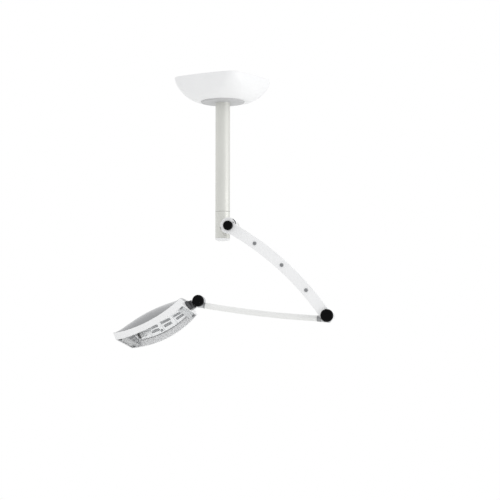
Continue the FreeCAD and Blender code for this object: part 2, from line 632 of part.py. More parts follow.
def head_bracket():
    """Cast bracket that tilts on the forearm's end and holds the spindle that the head rolls on."""
    back = "@forearm_y + @end_half + 0.4"
    lug = cylinder("lug", 17, 12, (0, back, 0), "y")
    web = block("lug_web", (41, 12, 24), (-41, back, -12))
    heel = block("heel", (17.2, 33, 29), (-41, -17, -14.5))
    pin_hole = cylinder("lug_bore", "@tilt_pin + @press_ease", 20, (0, -2, 0), "y")
    seat = cylinder("spindle_hole", "@roll_radius + @press_ease", 13.6, (-41.5, 0, 0), "x")
    relief = cylinder("knuckle_relief", "@tube_drop + @tube_radius + 0.5", 24, (0, -21.3, 0), "y")
    plate = new_body("bracket_plate")
    outline = new_sketch(plate, "plate_outline", "YZ_Plane", -41)
    draw_loop(outline, [(-38, 16), (-38, 8), (-12, -14.5), (20, -14.5), (20, 16)])
    feature(plate, "Pad", "plate_pad", outline, 9)
    keep("head_bracket",
         cut("bracket", fused("bracket_body", lug, web, heel, plate), pin_hole, seat, relief), tilt_frame)

    front = "@forearm_y - @end_half"
    keep("tilt_pin", ring("tilt_pin_rod", "@tilt_pin", 3, "12 + 0.4 + 2 * @end_half + 6.6",
                          (0, front + " - 6.6", 0), "y"), tilt_frame)
    keep("tilt_spring_washer",
         ring("tilt_spring", 12, "@tilt_pin + @loose_ease", 1.8, (0, front + " - 2", 0), "y"), tilt_frame)
    keep("tilt_nut",
         hexagon("tilt_nut_hex", 21, "@tilt_pin + @press_ease", 4.2, (0, front + " - 6.4", 0)), tilt_frame)
    keep("tilt_cap", cover_cap("tilt", "@tilt_cap"),
         tilt_frame.multiply(Placement(Vector(0, value(front) - 0.3, 0), Rotation(Vector(1, 0, 0), 90))))
    keep("roll_spindle", ring("roll_spindle_rod", "@roll_radius", 4, 34, (-62, 0, 0), "x"), tilt_frame)
    eye = "@roll_radius + @loose_ease"
    washers = group("roll_washer_pair", ring("outer_washer", 13, eye, 1.6, (-42.8, 0, 0), "x"),
                    ring("inner_washer", 10, eye, 1.6, (-53.2, 0, 0), "x"))
    keep("roll_washers", washers, tilt_frame)
    keep("roll_nut",
         hexagon("roll_nut_hex", 19.8, "@roll_radius + @press_ease", 6, (-59.4, 0, 0), "x"), tilt_frame)


# ---------------------------------------------------------------- head

def side_bend(rise, half):
    """Radius of the arc that stands `rise` above a chord of twice `half`."""
    return "((%s)^2 + (%s)^2) / (2 * (%s))" % (half, rise, rise)


def head_plan(sketch, inset):
    """Plan of the head: straight ends and long sides that swell towards the middle."""
    half = "(@head_half - (%s))" % inset
    width = "(@end_width - (%s))" % inset
    bend = side_bend("@mid_width - @end_width", half)
    draw_loop(sketch, [("-" + half, "-" + width, bend, 1), (half, "-" + width), (half, width, bend, 1),
                       ("-" + half, width)])


def bowed_cut(body, name, level, above, bow="@front_bow"):
    """Remove everything above or below the curved level, which dips by `bow` at the middle."""
    reach = "(@head_half + 12)"
    bend = side_bend(bow, "@head_half")
    centre = "(%s - %s + %s)" % (level, bow, bend)
    ends = "(%s - sqrt((%s)^2 - %s^2))" % (centre, bend, reach)
    far = "%s + 90" % level if above else "%s - 90" % level
    sketch = new_sketch(body, name + "_side", "XZ_Plane", "-@mid_width - 20")
    loop = [("-" + reach, ends, bend, 1), (reach, ends), (reach, far), ("-" + reach, far)]
    draw_loop(sketch, loop)
    feature(body, "Pocket", name + "_pocket", sketch, "2 * @mid_width + 40")


def bowed_slab(name, inset, low, high, hollow=None, high_bow="@front_bow"):
    """Plate or ring with the head's plan, cut to the bowed levels low and high."""
    body = new_body(name)
    plan = new_sketch(body, name + "_plan", "XY_Plane", -50)
    head_plan(plan, inset)
    if hollow is not None:
        head_plan(plan, hollow)
    feature(body, "Pad", name + "_pad", plan, 90)
    bowed_cut(body, name + "_low", low, above=False)
    bowed_cut(body, name + "_high", high, above=True, bow=high_bow)
    return body


FIXING_X = 121
FIXING_Y = 62
COLUMNS = (-126, -97, -47, 3, 54, 107)
ROWS = (-1, -0.5, 0, 0.5, 1)


def fixing_places():
    """Places and lean of the four shield fixings, which follow the bowed front."""
    bend = value(side_bend("@front_bow", "@head_half"))
    centre = -value("@bezel_depth") / 2 - value("@front_bow") + bend
    places = []
    for x in (-FIXING_X, FIXING_X):
        for y in (-FIXING_Y, FIXING_Y):
            level = centre - math.sqrt(bend ** 2 - x ** 2)
            places.append((x, y, level, math.degrees(math.asin(x / bend))))
    return places


def leaning(item, x, y, level, lean):
    """Stand an item made along Z on the bowed front, square to its surface."""
    item.Placement = Placement(Vector(x, y, level), Rotation(Vector(0, 1, 0), -lean))
    return item


def bezel_and_shield():
    low = "-@bezel_depth / 2"
    ring_body = bowed_slab("bezel", 0, low, "@bezel_depth / 2", hollow="@bezel_wall", high_bow="@rear_bow")
    spindle_way = cylinder("bezel_bore", "@roll_radius + @loose_ease", 30, (120, 0, 0), "x")
    keep("head_bezel", cut("bezel_bored", ring_body, spindle_way), head_frame)

    shield = bowed_slab("shield", "@bezel_wall + 0.4", low + " + 1", low + " + 1 + @shield_thick")
    holes = [leaning(fused("shield_hole%d" % index, upright("hole_low%d" % index, 2.8, 20, -20),
                           upright("hole_high%d" % index, 2.8, 21, -1)), *spot)
             for index, spot in enumerate(fixing_places())]
    keep("front_shield", cut("shield_drilled", shield, *holes), head_frame)

    studs = []
    for index, (x, y, level, lean) in enumerate(fixing_places()):
        shank = upright("stud_shank%d" % index, 2.5, 12, 0.5)
        button = upright("stud_button%d" % index, 5.5, 2.2, -1.5)
        studs.append(leaning(fused("stud%d" % index, shank, button), x, y, level, lean))
    for side in (-1, 1):
        stud = fused("sheet_stud%d" % side, upright("sheet_shank%d" % side, 2, 4, -0.5),
                     upright("sheet_button%d" % side, 4.5, 1.7, -2),
                     upright("sheet_clip%d" % side, 4, 1.4, 1.4))
        stud.Placement = reflector_edge(side)
        studs.append(stud)
    keep("head_fixings", group("stud_group", *studs), head_frame)


def upright(name, radius, height, low):
    """Cylinder along Z that starts at `low`."""
    return cylinder(name, radius, height, (0, 0, low))


def rear_section(body, name, x, inset, drop):
    """Crowned section of the rear housing at x: an arc over a straight lower edge."""
    share = "(1 - (%s / @head_half)^2)" % x
    width = "(@end_width + (@mid_width - @end_width) * %s - %s)" % (share, inset)
    low = "(@bezel_depth / 2 + 0.3 - @rear_bow * %s - %s)" % (share, drop)
    crown = "(@bezel_depth / 2 + @end_crown + (@mid_crown - @end_crown) * %s - %s)" % (share, inset)
    rise = "(%s - %s)" % (crown, low)
    sketch = new_sketch(body, name, "YZ_Plane", x)
    draw_loop(sketch, [("-" + width, low), (width, low, side_bend(rise, width), 1)])
    return sketch


def rear_loft(body, kind, name, inset, drop):
    steps = 6
    sections = []
    for step in range(steps + 1):
        x = "((@head_half - %s) * %.4f)" % (inset, step * 2 / steps - 1)
        sections.append(rear_section(body, "%s%d" % (name, step), x, inset, drop))
    loft = body.newObject("PartDesign::" + kind, name + "_loft")
    loft.Profile = sections[0]
    loft.Sections = sections[1:]


SWITCH_LEAN = 30


def switch_place():
    """Frame on the crowned rear of the head, on its +Y half, whose Z points straight out of the shell."""
    crown = value("@bezel_depth / 2 + @mid_crown")
    rise = value("@mid_crown + @rear_bow - 0.3")
    bend = (value("@mid_width") ** 2 + rise ** 2) / (2 * rise)
    lean = math.radians(SWITCH_LEAN)
    centre = Vector(0, bend * math.sin(lean), crown - bend + bend * math.cos(lean))
    return turned_frame(centre, (1, 0, 0), -SWITCH_LEAN)


def rear_housing_and_switch():
    shell = new_body("rear_housing")
    rear_loft(shell, "AdditiveLoft", "rear_outside", 0, 0)
    rear_loft(shell, "SubtractiveLoft", "rear_inside", "@shell_wall", 2)
    window = group("switch_opening", block("switch_window", (28.4, 18.4, 60), (-14.2, -9.2, -30)))
    window.Placement = switch_place()
    keep("head_rear_housing", cut("rear_housing_cut", shell, window), head_frame)

    frame = head_frame.multiply(switch_place())
    case = block("switch_case", (28, 18, 12), (-14, -9, -10.5))
    rim = block("switch_rim", (32, 22, 1.7), (-16, -11, 0.15))
    well = block("switch_well", (23, 13, 14), (-11.5, -6.5, -9))
    pivots = [cylinder("switch_pivot%d" % side, 1.2, 2, ("-12.5 + %d * 23" % side, 0, -1), "x")
              for side in range(2)]
    keep("switch_housing", fused("switch_body", cut("switch_hollow", fused("switch_shell", case, rim), well),
                                 *pivots), frame)
    rocker_disc = cylinder("rocker_round", 6.1, 21, (-10.5, 0, -1), "x")
    rocker_trim = block("rocker_trim", (24, 14, 8), (-12, -7, -9.8))
    rocker_valley = cylinder("rocker_valley", 14, 24, (-12, 0, 16.6), "x")
    pivot_bore = cylinder("rocker_bore", 1.28, 24, (-12, 0, -1), "x")
    keep("power_rocker", cut("rocker", rocker_disc, rocker_trim, rocker_valley, pivot_bore), frame)


def reflector_width(x):
    """Half width of the reflector at x."""
    swell = 1 - (x / value("@head_half")) ** 2
    return value("@end_width") + (value("@mid_width") - value("@end_width")) * swell - 6.5


def reflector_height(x, share):
    """Height of the reflector's inner face; share runs from -1 to +1 across the head."""
    swell = 1 - (x / value("@head_half")) ** 2
    edge = value("@bezel_depth") / 2 - value("@front_bow") * swell - 3
    crown = value("@bezel_depth") / 2 + 2 + (value("@mid_crown") - value("@end_crown") - 5.5) * swell
    return edge + (crown - edge) * (1 - abs(share) ** 1.7)


def facet_corner(x, share, lift=0.0):
    """Corner shared by neighbouring facets, on the sheet's inner face or `lift` above it."""
    return Vector(x, share * reflector_width(x), reflector_height(x, share) + lift)


EDGE_STUD_PLACE = 0.78
EDGE_STUD_INSET = 10


def reflector_edge(side):
    """Frame of the stud by the reflector's long edge, beside the middle rib, with Z square to the sheet."""
    left, right = facet_corner(COLUMNS[2], side), facet_corner(COLUMNS[3], side)
    inner = facet_corner(COLUMNS[3], side * 0.5)
    edge = right - left
    out = edge.cross(inner - left).normalize() * -side
    inward = out.cross(edge).normalize() * -side
    return Placement(left + edge * EDGE_STUD_PLACE + inward * EDGE_STUD_INSET, Rotation(Vector(0, 0,
                                                                                               1), out))


def reflector():
    """Pressed sheet of flat facets, five along the head and four across, with an end panel each side."""
    sheet_thick = 1.2
    faces = []

    def add(*points):
        for index in range(1, len(points) - 1):
            triangle = [points[0], points[index], points[index + 1], points[0]]
            faces.append(Part.Face(Part.makePolygon(triangle)))

    for lift in (0, sheet_thick):
        for left, right in zip(COLUMNS, COLUMNS[1:]):
            for near, far in zip(ROWS, ROWS[1:]):
                outer, inner = (near, far) if far <= 0 else (far, near)
                add(facet_corner(left, outer, lift), facet_corner(right, outer, lift),
                    facet_corner(right, inner, lift), facet_corner(left, inner, lift))
    for left, right in zip(COLUMNS, COLUMNS[1:]):
        for share in (ROWS[0], ROWS[-1]):
            add(facet_corner(left, share), facet_corner(right, share),
                facet_corner(right, share, sheet_thick), facet_corner(left, share, sheet_thick))
    for near, far in zip(ROWS, ROWS[1:]):
        for x in (COLUMNS[0], COLUMNS[-1]):
            add(facet_corner(x, near), facet_corner(x, far),
                facet_corner(x, far, sheet_thick), facet_corner(x, near, sheet_thick))
    shell = Part.Shell(faces)
    shell.sewShape()
    solid = Part.makeSolid(shell)
    if solid.Volume < 0:
        solid.reverse()
    slot = Part.makeBox(4, 20, 30, Vector(-74, -10, 10))
    cover = Part.makeBox(17.6, 60, 27, Vector(106.4, -30, -11.5))
    hollow = Part.makeBox(17.6, 57.6, 27, Vector(107.6, -28.8, -10.3))
    item = doc.addObject("Part::Feature", "reflector_sheet")
    for side in (-1, 1):
        hole = Part.makeCylinder(2.3, 12)
        hole.Placement = reflector_edge(side).multiply(Placement(Vector(0, 0, -6), Rotation()))
        solid = solid.cut(hole)
    item.Shape = solid.cut(slot).fuse(cover.cut(hollow))
    keep("reflector", item, head_frame)


def lamp():
    """Halogen capsule on the head's long axis, inside a glass heat filter, held by a strap from behind."""
    z = -11
    plate = block("pivot_plate_body", (4.6, 76, 22.5), (125.2, -38, -10.6))
    bore = cylinder("pivot_plate_bore", "@roll_radius + @running_gap", 20, (120, 0, 0), "x")
    keep("pivot_plate", cut("pivot_plate_bored", plate, bore), head_frame)
    strap = block("strap", (2.5, 16, 50), (-72.5, -8, -22))
    keep("lamp_bracket", group("strap_group", strap), head_frame)
    base = cylinder("holder_disc", 12, 5, (-69.9, 0, z), "x")
    neck = cylinder("holder_neck", 9, 8, (-65, 0, z), "x")
    socket = [cylinder("holder_socket%d" % side, 1.1, 8, (-64.9, -3 + 6 * side, z),
                       "x") for side in range(2)]
    keep("lampholder", cut("holder", fused("holder_body", base, neck), *socket), head_frame)
    bulb = cylinder("bulb", 6, 20, (-50, 0, z), "x")
    tip = doc.addObject("Part::Sphere", "bulb_tip")
    tip.Radius = 6
    place(tip, (-30, 0, z))
    pinch = block("bulb_pinch", (8, 10, 3.4), (-56.5, -5, z - 1.7))
    prongs = [cylinder("bulb_prong%d" % side, 0.8, 8, (-63, -3 + 6 * side, z), "x") for side in range(2)]
    keep("halogen_lamp", fused("lamp_body", bulb, tip, pinch, *prongs), head_frame)
    keep("heat_filter", ring("filter_tube", 11, 9.4, 44, (-64.8, 0, z), "x"), head_frame)


# ---------------------------------------------------------------- build, check and write

mounting_plate()
pole_and_flange()
canopy()
ceiling_gear()
pole_bearing()
swivel()
pivot_stack("shoulder", Placement(shoulder_frame.Base, Rotation()), -3, "@shoulder_cap")
upper_arm()
pivot_stack("elbow", elbow_frame, -0.2, "@elbow_cap")
forearm()
head_bracket()
bezel_and_shield()
rear_housing_and_switch()
reflector()
lamp()

doc.recompute()
for item in doc.Objects:
    if {"Invalid", "Error"} & set(item.State):
        raise RuntimeError("%s (%s) failed: %s" % (item.Name, item.Label, item.State))
for item in sub_parts:
    if item.Shape.isNull() or not item.Shape.isValid() or item.Shape.Volume <= 0:
        raise RuntimeError("%s has no sound shape" % item.Label)

os.makedirs("parts", exist_ok=True)
for item in sub_parts:
    item.Shape.exportStep("parts/%s.step" % item.Label)
print("%d sub-parts" % len(sub_parts))
for label, point in (("elbow", elbow_point), ("tilt", tilt_point)):
    print("%s axis at %.4f %.4f %.4f" % (label, *point))
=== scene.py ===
"""Looks of the ceiling-hung dental operating light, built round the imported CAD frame. Metres."""
import json
import math

import bmesh
import bpy
from mathutils import Matrix, Vector


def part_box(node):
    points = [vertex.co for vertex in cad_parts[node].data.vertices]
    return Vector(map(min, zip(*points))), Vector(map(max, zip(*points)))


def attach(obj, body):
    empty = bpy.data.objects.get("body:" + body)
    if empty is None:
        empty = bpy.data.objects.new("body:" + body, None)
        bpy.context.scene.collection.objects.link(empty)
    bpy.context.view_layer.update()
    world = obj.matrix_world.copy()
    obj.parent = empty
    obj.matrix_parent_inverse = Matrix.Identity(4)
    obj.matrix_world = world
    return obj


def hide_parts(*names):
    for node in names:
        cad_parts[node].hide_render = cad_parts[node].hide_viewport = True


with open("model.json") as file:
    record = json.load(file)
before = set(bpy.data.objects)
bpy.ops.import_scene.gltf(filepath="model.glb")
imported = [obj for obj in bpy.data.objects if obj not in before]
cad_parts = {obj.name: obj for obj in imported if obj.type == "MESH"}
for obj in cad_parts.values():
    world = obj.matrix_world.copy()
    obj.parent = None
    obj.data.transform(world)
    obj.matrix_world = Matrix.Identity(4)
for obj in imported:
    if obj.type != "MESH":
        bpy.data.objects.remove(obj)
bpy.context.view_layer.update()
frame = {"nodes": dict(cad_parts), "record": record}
nodes = frame["nodes"]
record = frame["record"]
slots = {entry["node"]: entry["material_slot"] for entry in record["subparts"]}
joints = {entry["name"]: entry for entry in record["behaviour"]["joints"]}


# ---------------------------------------------------------------- camera, light and floor

CAMERA_AZIMUTH = math.radians(11.5)
CAMERA_DISTANCE = 4.94
CAMERA_ASIDE = 0.0947
CAMERA_HEIGHT = -0.897
CAMERA_PITCH = math.radians(3.48)
LENS = 102.96
FLOOR_LEVEL = -3.6
FLOOR_HALF = 7.0

CAMERA_RIGHT = Vector((math.cos(CAMERA_AZIMUTH), math.sin(CAMERA_AZIMUTH), 0))
CAMERA_BACK = Vector((math.sin(CAMERA_AZIMUTH), -math.cos(CAMERA_AZIMUTH), 0))


def studio_point(right, back, up):
    """A place given to the right of, in front of and above the pole's top, as the camera sees them."""
    return CAMERA_RIGHT * right + CAMERA_BACK * back + Vector((0, 0, up))


def add_camera():
    data = bpy.data.cameras.new("camera")
    data.lens = LENS
    data.sensor_width = 36
    data.clip_end = 100
    camera = bpy.data.objects.new("camera", data)
    bpy.context.collection.objects.link(camera)
    camera.location = studio_point(CAMERA_ASIDE, CAMERA_DISTANCE, CAMERA_HEIGHT)
    camera.rotation_euler = (math.pi / 2 + CAMERA_PITCH, 0, CAMERA_AZIMUTH)
    bpy.context.scene.camera = camera


class Tree:
    """Short way to add and link shader nodes."""

    def __init__(self, owner):
        owner.use_nodes = True
        self.tree = owner.node_tree

    def add(self, kind, inputs=None, **settings):
        node = self.tree.nodes.new("ShaderNode" + kind)
        for key, setting in settings.items():
            setattr(node, key, setting)
        for key, given in (inputs or {}).items():
            if isinstance(given, bpy.types.NodeSocket):
                self.tree.links.new(given, node.inputs[key])
            else:
                node.inputs[key].default_value = given
        return node

    def math(self, operation, first, second=0.0):
        return self.add("Math", {0: first, 1: second}, operation=operation).outputs[0]

    def blend(self, share, first, second, kind="MIX"):
        node = self.add("Mix", data_type="RGBA", blend_type=kind)
        for socket, given in zip((node.inputs[0], node.inputs[6], node.inputs[7]), (share, first, second)):
            if isinstance(given, bpy.types.NodeSocket):
                self.tree.links.new(given, socket)
            else:
                socket.default_value = given
        return node.outputs[2]

    def span(self, given, low, high, to_low, to_high):
        return self.add("MapRange", {0: given, 1: low, 2: high, 3: to_low, 4: to_high}).outputs[0]

    def noise(self, where, scale, detail=3.0, roughness=0.55):
        return self.add("TexNoise", {"Vector": where, "Scale": scale, "Detail": detail,
                                     "Roughness": roughness}).outputs[0]


def add_world():
    """White studio for the camera; the object is lit by a softer room, brighter above and dimmer in front."""
    world = bpy.data.worlds.new("studio")
    bpy.context.scene.world = world
    tree = Tree(world)
    tree.tree.nodes.clear()
    way = tree.add("TexCoord").outputs["Generated"]
    aside = tree.add("VectorMath", {0: way, 1: tuple(CAMERA_RIGHT)}, operation="DOT_PRODUCT").outputs["Value"]
    near = tree.add("VectorMath", {0: way, 1: tuple(CAMERA_BACK)}, operation="DOT_PRODUCT").outputs["Value"]
    height = tree.add("SeparateXYZ", {0: way}).outputs[2]
    sideways = tree.span(aside, -0.6, 1, 1.08, 1.04)
    frontal = tree.span(near, -0.4, 0.8, 0.92, 0.78)
    vertical = tree.span(height, -1, 1, 0.86, 1.16)
    strength = tree.math("MULTIPLY", tree.math("MULTIPLY", sideways, frontal), vertical)
    lit = tree.add("Background", {"Color": (0.99, 0.995, 1.0, 1), "Strength": strength})
    seen = tree.add("Background", {"Color": (1, 1, 1, 1), "Strength": 1.0})
    path = tree.add("LightPath")
    mix = tree.add("MixShader", {0: path.outputs["Is Camera Ray"], 1: lit.outputs[0], 2: seen.outputs[0]})
    tree.add("OutputWorld", {"Surface": mix.outputs[0]})


def add_area(name, place, aim, size, power):
    """Rectangular lamp of the given width and height, turned to face `aim`."""
    data = bpy.data.lights.new(name, "AREA")
    data.shape = "RECTANGLE"
    data.size, data.size_y = size
    data.energy = power
    light = bpy.data.objects.new(name, data)
    bpy.context.collection.objects.link(light)
    light.location = place
    light.rotation_euler = (Vector(aim) - Vector(place)).to_track_quat("-Z", "Y").to_euler()


# Each lamp's name, its place as studio_point takes it, its aim in the world, its width and height, and watts.
LAMPS = (
    ("key", (3.1, 1.2, -0.7), (0, 0, -0.55), (3.2, 1.0), 27),
    ("catch_light", (1.6, 2.6, 1.6), (0.1, 0, -0.7), (0.5, 0.5), 5),
    ("fill", (-0.1, 1.6, -1.9), (-0.24, 0, -0.83), (0.8, 0.8), 2.5),
)


def add_lights():
    for name, place, aim, size, power in LAMPS:
        add_area(name, studio_point(*place), aim, size, power)


def add_stage(material):
    mesh = bpy.data.meshes.new("floor")
    half = FLOOR_HALF
    mesh.from_pydata([(x * half, y * half, FLOOR_LEVEL) for x, y in ((-1, -1), (1, -1), (1, 1), (-1, 1))],
                     [], [(0, 1, 2, 3)])
    floor = bpy.data.objects.new("floor", mesh)
    bpy.context.collection.objects.link(floor)
    floor.data.materials.append(material)


# ---------------------------------------------------------------- materials

def finish(name, colour, roughness, metallic=0.0, shift=0.03, cloud=7.0, grain=900.0, bump=0.06, depth=0.0002,
           streak=None, wear=0.0, wear_colour=(0.6, 0.6, 0.6), soft_edge=0.0007, grime=0.0, settings=None):
    """Procedural finish: clouded colour, uneven gloss, a fine relief, softened edges, and wear or grime.

    shift is how far the colour drifts, cloud and grain are how fine the drift and the relief are per
    metre, streak stretches the relief along one axis, and wear shows wear_colour on the edges.
    """
    material = bpy.data.materials.new(name)
    tree = Tree(material)
    shader = tree.tree.nodes["Principled BSDF"]
    where = tree.add("TexCoord").outputs["Object"]
    drift = tree.noise(where, cloud, 4.0)
    darker = tuple(channel * (1 - shift) for channel in colour) + (1,)
    lighter = tuple(min(1, channel * (1 + shift)) for channel in colour) + (1,)
    tone = tree.blend(tree.span(drift, 0.3, 0.7, 0, 1), darker, lighter)
    relief_at = where
    if streak is not None:
        relief_at = tree.add("Mapping", {"Vector": where, "Scale": streak}).outputs[0]
    relief = tree.noise(relief_at, grain, 2.0)
    gloss = tree.noise(where, cloud * 5, 3.0)
    rough = tree.span(gloss, 0.3, 0.7, max(0.02, roughness - 0.05), roughness + 0.06)
    if grime:
        spots = tree.span(tree.noise(where, cloud * 2.3, 6.0, 0.7), 0.55, 0.75, 0, grime)
        tone = tree.blend(spots, tone, tuple(channel * 0.6 for channel in colour) + (1,))
    rounded = tree.add("Bevel", {"Radius": soft_edge}, samples=4).outputs[0]
    if wear:
        facing = tree.add("NewGeometry").outputs["Normal"]
        match = tree.add("VectorMath", {0: rounded, 1: facing}, operation="DOT_PRODUCT").outputs["Value"]
        edges = tree.span(match, 0.86, 0.995, 1, 0)
        patchy = tree.span(tree.noise(where, cloud * 9, 4.0, 0.7), 0.45, 0.62, 0, wear)
        share = tree.math("MULTIPLY", edges, patchy)
        tone = tree.blend(share, tone, (*wear_colour, 1))
    height = tree.add("Bump", {"Strength": bump, "Distance": depth, "Height": relief, "Normal": rounded})
    tree.tree.links.new(tone, shader.inputs["Base Color"])
    tree.tree.links.new(rough, shader.inputs["Roughness"])
    tree.tree.links.new(height.outputs[0], shader.inputs["Normal"])
    shader.inputs["Metallic"].default_value = metallic
    for key, given in (settings or {}).items():
        shader.inputs[key].default_value = given
    return material


def slot_materials():
    coat = {"Coat Weight": 0.25, "Coat Roughness": 0.12}
    steel = {"Anisotropic": 0.35}
    return {
        "white_paint": finish("white_paint", (0.79, 0.79, 0.78), 0.33, grain=420, bump=0.10, wear=0.5,
                              wear_colour=(0.55, 0.55, 0.54), grime=0.10, settings=coat),
        "pale_paint": finish("pale_paint", (0.66, 0.66, 0.625), 0.42, metallic=0.45, shift=0.02, grain=420,
                             bump=0.01, wear=0.2, wear_colour=(0.45, 0.45, 0.44), grime=0.03),
        "white_plastic": finish("white_plastic", (0.84, 0.84, 0.845), 0.38, cloud=5, grain=1500, bump=0.06,
                                grime=0.08, soft_edge=0.0012),
        "grey_plastic": finish("grey_plastic", (0.27, 0.273, 0.28), 0.36, shift=0.06, grain=1300, bump=0.12,
                               wear=0.35, grime=0.2, soft_edge=0.001, settings={"Coat Weight": 0.7}),
        "cast_grey": finish("cast_grey", (0.50, 0.51, 0.52), 0.38, shift=0.05, grain=700, bump=0.25, wear=0.7,
                            wear_colour=(0.75, 0.75, 0.74), grime=0.25, settings=coat),
        "dark_casting": finish("dark_casting", (0.045, 0.046, 0.05), 0.40, shift=0.15, grain=650, bump=0.3,
                               wear=0.8, wear_colour=(0.3, 0.3, 0.31), settings=coat),
        "black_plastic": finish("black_plastic", (0.0025, 0.0025, 0.003), 0.24, shift=0.25, grain=1200,
                                bump=0.03, wear=0.5, wear_colour=(0.02, 0.02, 0.02),
                                settings={"Specular IOR Level": 0.06}),
        "black_metal": finish("black_metal", (0.02, 0.02, 0.02), 0.5, shift=0.2, grain=800, bump=0.2,
                              wear=0.6, wear_colour=(0.25, 0.25, 0.25)),
        "black_ceramic": finish("black_ceramic", (0.018, 0.017, 0.016), 0.18, shift=0.2, grain=500,
                                bump=0.05),
        "zinc_steel": finish("zinc_steel", (0.30, 0.305, 0.315), 0.32, metallic=1.0, shift=0.08, grain=260,
                             bump=0.15, streak=(1, 1, 9), grime=0.25, settings=steel),
        "dark_steel": finish("dark_steel", (0.22, 0.22, 0.23), 0.42, metallic=1.0, shift=0.15, grain=300,
                             bump=0.2, streak=(9, 1, 1), grime=0.3),
        "bronze": finish("bronze", (0.50, 0.33, 0.15), 0.4, metallic=1.0, shift=0.1, grain=900,
                         bump=0.3, grime=0.3),
        "copper_tape": finish("copper_tape", (0.52, 0.30, 0.08), 0.35, shift=0.1, grain=160, bump=0.35,
                              streak=(1, 1, 12)),
        "lead_sheath": finish("lead_sheath", (0.42, 0.42, 0.42), 0.55, shift=0.06, grain=900, bump=0.15),
        "reflector_mirror": finish("reflector_mirror", (0.84, 0.845, 0.855), 0.27, metallic=1.0, shift=0.04,
                                   grain=220, bump=0.08, soft_edge=0.0009),
        "clear_shield": finish("clear_shield", (0.92, 0.95, 0.96), 0.07, shift=0.01, grain=60, bump=0.03,
                               settings={"Alpha": 0.025, "IOR": 1.49}),
        "lamp_glass": finish("lamp_glass", (0.95, 0.96, 0.97), 0.06, shift=0.01, grain=80, bump=0.02,
                             settings={"Alpha": 0.28, "IOR": 1.46}),
    }


materials = slot_materials()
# The canopy's base ring is white plastic with its colour lowered to grey: painted shade for its
# downward-facing underside.
shade_painted_finishes = {
    "canopy_base_ring": finish("painted_shade_plastic", (0.52, 0.52, 0.525), 0.5, cloud=9, grain=900,
                               bump=0.08, grime=0.1, soft_edge=0.0002),
}
floor_paint = finish("floor_paint", (0.90, 0.90, 0.89), 0.6, cloud=0.8, grain=60, bump=0.1, depth=0.001,
                     soft_edge=0.002)


def piece(name, maker, body, slot, at, replaced=(), smooth=35):
    """Finish a mesh from the bmesh maker as a named piece in the frame `at`, riding on a body."""
    shape = bmesh.new()
    maker(shape)
    bmesh.ops.remove_doubles(shape, verts=shape.verts, dist=1e-6)
    bmesh.ops.recalc_face_normals(shape, faces=shape.faces)
    shape.transform(at)
    mesh = bpy.data.meshes.new(name)
    shape.to_mesh(mesh)
    shape.free()
    mesh.materials.append(materials[slot])
    item = bpy.data.objects.new(name, mesh)
    bpy.context.collection.objects.link(item)
    mesh.shade_smooth()
    mesh.set_sharp_from_angle(angle=math.radians(smooth))
    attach(item, body)
    if replaced:
        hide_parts(*replaced)


def close_sheet(shape, lower, upper):
    """Skin over two grids of vertices that match row for row, closed round their four edges."""
    across = len(lower[0]) - 1
    for grid in (lower, upper):
        for first, second in zip(grid, grid[1:]):
            for index in range(across):
                shape.faces.new((first[index], second[index], second[index + 1], first[index + 1]))
    for end in (0, -1):
        low, high = lower[end], upper[end]
        for index in range(across):
            shape.faces.new((low[index], low[index + 1], high[index + 1], high[index]))
        for row in range(len(lower) - 1):
            shape.faces.new((lower[row][end], lower[row + 1][end], upper[row + 1][end], upper[row][end]))


def close_rings(shape, rings):
    """Skin round a row of rings of vertices, with a face over each end."""
    count = len(rings[0])
    for first, second in zip(rings, rings[1:]):
        for index in range(count):
            following = (index + 1) % count
            shape.faces.new((first[index], first[following], second[following], second[index]))
    shape.faces.new(rings[0])
    shape.faces.new(list(reversed(rings[-1])))


# ---------------------------------------------------------------- frames of the moving groups

HEAD_ROLL = math.radians(-13)
HEAD_REACH = 0.176


def head_matrix():
    """The head's own frame: X towards its knuckle, Y across it, Z out of its back."""
    long_axis = Vector(joints["head_roll"]["axis"]).normalized()
    across = Vector((0, 1, 0))
    out = long_axis.cross(across)
    turned = Matrix((long_axis, across, out)).transposed() @ Matrix.Rotation(HEAD_ROLL, 3, "X")
    origin = Vector(joints["head_roll"]["pos_m"]) - long_axis * HEAD_REACH
    return Matrix.Translation(origin) @ turned.to_4x4()


def shoulder_matrix():
    """Front face of the shoulder disc: X along the arm, Z out of the face towards the viewer."""
    shoulder, elbow = (Vector(joints[name]["pos_m"]) for name in ("shoulder", "elbow"))
    along = elbow - shoulder
    along.y = 0
    along.normalize()
    out = Vector((0, -1, 0))
    turned = Matrix((along, out.cross(along), out)).transposed()
    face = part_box("upper_arm_front_cover")[0][1]
    return Matrix.Translation(Vector((shoulder.x, face, shoulder.z))) @ turned.to_4x4()


# ---------------------------------------------------------------- reflector

HEAD_HALF = 0.133
END_WIDTH = 0.0755
MID_WIDTH = 0.090
REAR_LEVEL = 0.0135
FRONT_BOW = 0.022
END_CROWN = 0.012
MID_CROWN = 0.0315
SHEET = 0.0012
DISH = 0.0012
BEAD_DEPTH = 0.0016
BEAD_HALF = 0.0022
REFLECTOR_INSET = 0.0065
EDGE_DROP = 0.003
CROWN_RISE = 0.002
CROWN_INSET = 0.0055
CROWN_POWER = 1.7

# Where the facets meet: distances along the head, and shares of its half width across it.
COLUMNS = (-0.126, -0.097, -0.047, 0.003, 0.054, 0.107)
ROWS = (-1, -0.5, 0, 0.5, 1)
LAST_COLUMN = len(COLUMNS) - 2
LAST_ROW = len(ROWS) - 2

# Shares of one facet at which its dish is drawn.
COLUMN_STEPS = (0, 0.2, 0.5, 0.8, 1)
ROW_STEPS = (0, 0.12, 0.5, 0.88)


def swell(x):
    """How far the head has swelled at x: 0 at its ends, 1 in its middle."""
    return 1 - (x / HEAD_HALF) ** 2


def reflector_width(x):
    """Half of the reflector's width at x."""
    return END_WIDTH + (MID_WIDTH - END_WIDTH) * swell(x) - REFLECTOR_INSET


